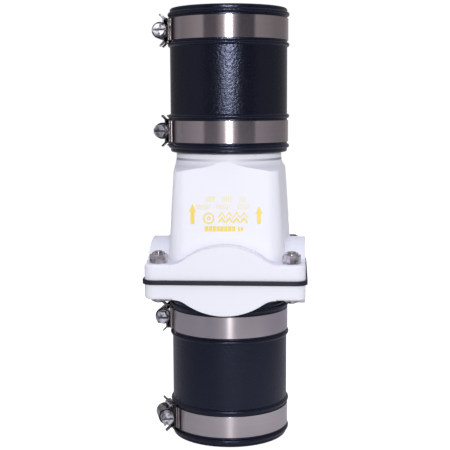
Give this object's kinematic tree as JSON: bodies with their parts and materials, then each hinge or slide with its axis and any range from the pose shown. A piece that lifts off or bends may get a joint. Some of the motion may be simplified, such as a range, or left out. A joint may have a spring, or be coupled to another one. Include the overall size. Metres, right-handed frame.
{
  "type": "non-return valve",
  "caption": "White plastic swing check valve with a flanged housing, a weighted rubber flapper and a clamped rubber pipe coupling at each end.",
  "frame": {"origin": "centre of the lower coupling's open end, on the pipe's axis, where the inlet pipe goes in", "axes": "+Z along the pipe in the direction of flow, -Y towards the flat printed side of the box, clamp screws at -X"},
  "size_m": [0.0954, 0.0954, 0.2592],
  "materials": {
    "white_plastic": "semi-gloss moulded plastic",
    "gasket_rubber": "smooth sheet rubber",
    "flapper_rubber": "smooth moulded rubber",
    "weight_steel": "plated steel plate",
    "rivet_steel": "stainless steel",
    "bolt_steel": "stainless steel",
    "nylon": "nylon",
    "coupling_rubber": "black moulded rubber, slightly glossy",
    "band_steel": "rolled stainless strip",
    "case_steel": "pressed stainless steel",
    "screw_steel": "bright stainless screw"
  },
  "bodies": {
    "valve": {"upper_housing": "white_plastic", "lower_housing": "white_plastic", "gasket": "gasket_rubber", "flange_bolts": "bolt_steel", "flange_nuts": "bolt_steel", "nut_inserts": "nylon", "upper_coupling": "coupling_rubber", "lower_coupling": "coupling_rubber", "clamp_band_1": "band_steel", "clamp_band_2": "band_steel", "clamp_band_3": "band_steel", "clamp_band_4": "band_steel", "clamp_saddle_1": "band_steel", "clamp_saddle_2": "band_steel", "clamp_saddle_3": "band_steel", "clamp_saddle_4": "band_steel", "clamp_case_1": "case_steel", "clamp_case_2": "case_steel", "clamp_case_3": "case_steel", "clamp_case_4": "case_steel"},
    "flap": {"flapper": "flapper_rubber", "flapper_weight": "weight_steel", "flapper_backing": "weight_steel", "flapper_rivet": "rivet_steel"},
    "screw_1": {"clamp_screw_1": "screw_steel"},
    "screw_2": {"clamp_screw_2": "screw_steel"},
    "screw_3": {"clamp_screw_3": "screw_steel"},
    "screw_4": {"clamp_screw_4": "screw_steel"}
  },
  "joints": [
    {"name": "flapper_hinge", "type": "hinge", "parent": "valve", "child": "flap", "pos_m": [0, -0.036, 0.10125], "axis": [1, 0, 0], "range_deg": [0, 60]},
    {"name": "clamp_screw_1_turn", "type": "hinge", "parent": "valve", "child": "screw_1", "pos_m": [-0.04052, 0.00142, 0.2467], "axis": [0.0349, 0.9994, 0], "range_deg": [-1800, 360]},
    {"name": "clamp_screw_2_turn", "type": "hinge", "parent": "valve", "child": "screw_2", "pos_m": [-0.03966, 0.00843, 0.1867], "axis": [0.2079, 0.9781, 0], "range_deg": [-1800, 360]},
    {"name": "clamp_screw_3_turn", "type": "hinge", "parent": "valve", "child": "screw_3", "pos_m": [-0.0404, 0.00353, 0.0725], "axis": [0.0872, 0.9962, 0], "range_deg": [-1800, 360]},
    {"name": "clamp_screw_4_turn", "type": "hinge", "parent": "valve", "child": "screw_4", "pos_m": [-0.03934, -0.00981, 0.0125], "axis": [-0.2419, 0.9703, 0], "range_deg": [-1800, 360]}
  ]
}
